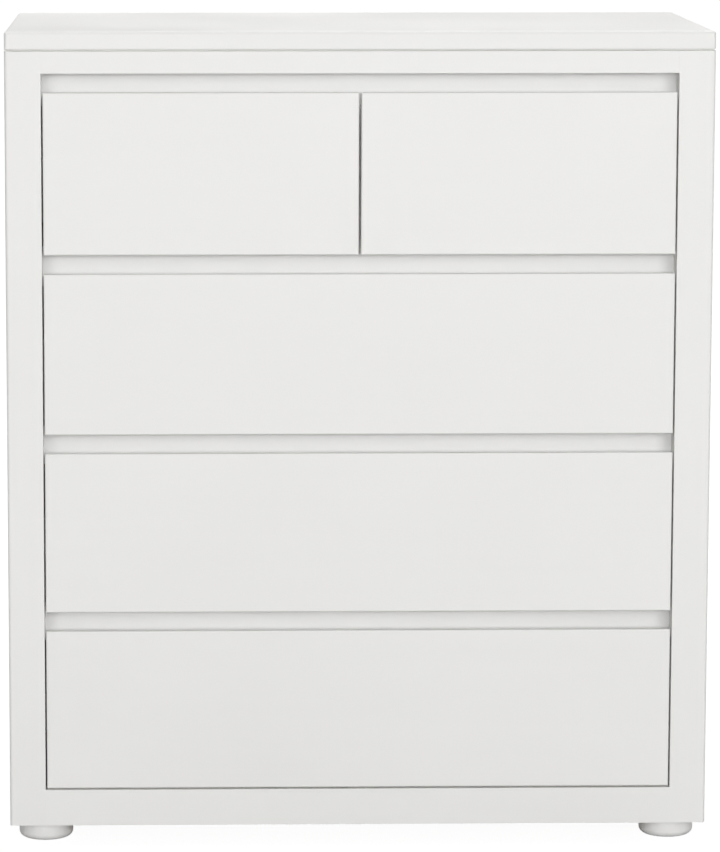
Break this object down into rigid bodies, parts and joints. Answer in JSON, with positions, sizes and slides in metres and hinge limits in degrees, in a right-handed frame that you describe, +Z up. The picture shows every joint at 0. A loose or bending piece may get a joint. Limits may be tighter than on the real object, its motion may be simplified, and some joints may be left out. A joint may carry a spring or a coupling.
{
  "type": "chest of drawers",
  "caption": "Tall white-painted chest of drawers: small drawers above wide ones, flush in a plain frame, opened by finger gaps between the fronts, on low round feet.",
  "frame": {"origin": "on the floor, at the bottom centre of the bounding box", "axes": "+X to the right seen from the front, +Y from the front to the back, +Z up; the drawer fronts face -Y"},
  "size_m": [0.9, 0.45, 1.05],
  "materials": {
    "frame_paint": "satin white paint over fine wood grain",
    "front_paint": "satin white paint over fine wood grain",
    "foot_paint": "satin white paint on turned wood",
    "carcase_wood": "planed pale softwood, unfinished",
    "box_wood": "clear-lacquered pale birch",
    "backing_board": "white-faced hardboard, matt",
    "runner_steel": "bright zinc plated",
    "screw_steel": "zinc plated"
  },
  "bodies": {
    "carcase": {"top_board": "frame_paint", "side_panel_left": "frame_paint", "side_panel_right": "frame_paint", "stile_left": "frame_paint", "stile_right": "frame_paint", "return_strip_left": "frame_paint", "return_strip_right": "frame_paint", "top_rail": "frame_paint", "bottom_rail": "frame_paint", "finger_rail_1": "frame_paint", "finger_rail_2": "frame_paint", "finger_rail_3": "frame_paint", "finger_rail_4": "frame_paint", "centre_divider": "frame_paint", "divider_shelf": "carcase_wood", "bottom_panel": "carcase_wood", "back_panel": "backing_board", "rear_top_rail": "carcase_wood", "foot_front_left": "foot_paint", "foot_front_right": "foot_paint", "foot_rear_left": "foot_paint", "foot_rear_right": "foot_paint", "runner_battens": "carcase_wood", "cabinet_runners": "runner_steel", "back_screws": "screw_steel"},
    "drawer_1": {"drawer_1_front": "front_paint", "drawer_1_sides": "box_wood", "drawer_1_inner_front": "box_wood", "drawer_1_box_back": "box_wood", "drawer_1_bottom": "backing_board", "drawer_1_runners": "runner_steel"},
    "drawer_2": {"drawer_2_front": "front_paint", "drawer_2_sides": "box_wood", "drawer_2_inner_front": "box_wood", "drawer_2_box_back": "box_wood", "drawer_2_bottom": "backing_board", "drawer_2_runners": "runner_steel"},
    "drawer_3": {"drawer_3_front": "front_paint", "drawer_3_sides": "box_wood", "drawer_3_inner_front": "box_wood", "drawer_3_box_back": "box_wood", "drawer_3_bottom": "backing_board", "drawer_3_runners": "runner_steel"},
    "drawer_4": {"drawer_4_front": "front_paint", "drawer_4_sides": "box_wood", "drawer_4_inner_front": "box_wood", "drawer_4_box_back": "box_wood", "drawer_4_bottom": "backing_board", "drawer_4_runners": "runner_steel"},
    "drawer_5": {"drawer_5_front": "front_paint", "drawer_5_sides": "box_wood", "drawer_5_inner_front": "box_wood", "drawer_5_box_back": "box_wood", "drawer_5_bottom": "backing_board", "drawer_5_runners": "runner_steel"},
    "runner_pair_1": {"middle_runners_1": "runner_steel"},
    "runner_pair_2": {"middle_runners_2": "runner_steel"},
    "runner_pair_3": {"middle_runners_3": "runner_steel"},
    "runner_pair_4": {"middle_runners_4": "runner_steel"},
    "runner_pair_5": {"middle_runners_5": "runner_steel"}
  },
  "joints": [
    {"name": "drawer_1_slide", "type": "slide", "parent": "carcase", "child": "drawer_1", "axis": [0, -1, 0], "range_m": [0, 0.4]},
    {"name": "drawer_2_slide", "type": "slide", "parent": "carcase", "child": "drawer_2", "axis": [0, -1, 0], "range_m": [0, 0.4]},
    {"name": "drawer_3_slide", "type": "slide", "parent": "carcase", "child": "drawer_3", "axis": [0, -1, 0], "range_m": [0, 0.4]},
    {"name": "drawer_4_slide", "type": "slide", "parent": "carcase", "child": "drawer_4", "axis": [0, -1, 0], "range_m": [0, 0.4]},
    {"name": "drawer_5_slide", "type": "slide", "parent": "carcase", "child": "drawer_5", "axis": [0, -1, 0], "range_m": [0, 0.4]},
    {"name": "runner_pair_1_slide", "type": "slide", "parent": "carcase", "child": "runner_pair_1", "axis": [0, -1, 0], "range_m": [0, 0.2]},
    {"name": "runner_pair_2_slide", "type": "slide", "parent": "carcase", "child": "runner_pair_2", "axis": [0, -1, 0], "range_m": [0, 0.2]},
    {"name": "runner_pair_3_slide", "type": "slide", "parent": "carcase", "child": "runner_pair_3", "axis": [0, -1, 0], "range_m": [0, 0.2]},
    {"name": "runner_pair_4_slide", "type": "slide", "parent": "carcase", "child": "runner_pair_4", "axis": [0, -1, 0], "range_m": [0, 0.2]},
    {"name": "runner_pair_5_slide", "type": "slide", "parent": "carcase", "child": "runner_pair_5", "axis": [0, -1, 0], "range_m": [0, 0.2]}
  ],
  "couplings": [
    {"joint": "runner_pair_1_slide", "follows": "drawer_1_slide", "ratio": 0.5},
    {"joint": "runner_pair_2_slide", "follows": "drawer_2_slide", "ratio": 0.5},
    {"joint": "runner_pair_3_slide", "follows": "drawer_3_slide", "ratio": 0.5},
    {"joint": "runner_pair_4_slide", "follows": "drawer_4_slide", "ratio": 0.5},
    {"joint": "runner_pair_5_slide", "follows": "drawer_5_slide", "ratio": 0.5}
  ]
}
